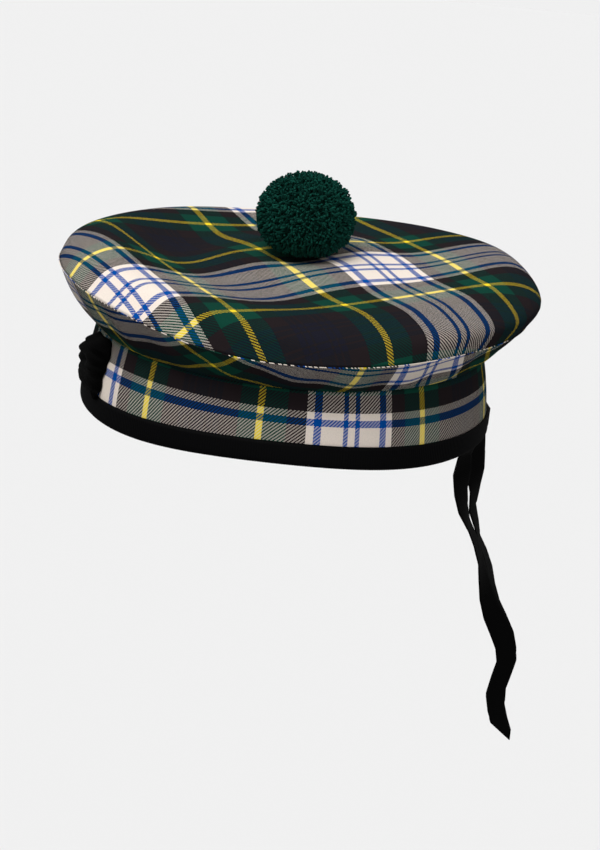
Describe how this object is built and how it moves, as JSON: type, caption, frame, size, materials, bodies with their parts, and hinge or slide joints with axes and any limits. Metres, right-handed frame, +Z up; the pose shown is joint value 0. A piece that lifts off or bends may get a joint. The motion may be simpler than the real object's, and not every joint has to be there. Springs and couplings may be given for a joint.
{
  "type": "balmoral bonnet",
  "caption": "Soft tartan bonnet with a wide flat crown on a headband, a ribbon-bound rim, a pleated cockade, hanging ribbon tails and a wool pompom.",
  "frame": {"origin": "centre of the rim opening, in the plane of the rim, where the bonnet sits round the head", "axes": "+Z up through the crown, -Y to the front with the cockade, +X to the wearer's left"},
  "size_m": [0.2099, 0.2497, 0.2892],
  "materials": {
    "tartan_cloth": "soft wool twill in a tartan of green, navy, black, white, blue and yellow",
    "black_ribbon": "black ribbed ribbon",
    "green_wool": "cut bottle-green wool yarn"
  },
  "bodies": {
    "root": {"crown_top": "tartan_cloth", "crown_under": "tartan_cloth", "headband": "tartan_cloth", "rim_binding": "black_ribbon", "cockade": "black_ribbon", "ribbon_tail_near": "black_ribbon", "ribbon_tail_far": "black_ribbon", "pompom": "green_wool"}
  },
  "joints": []
}
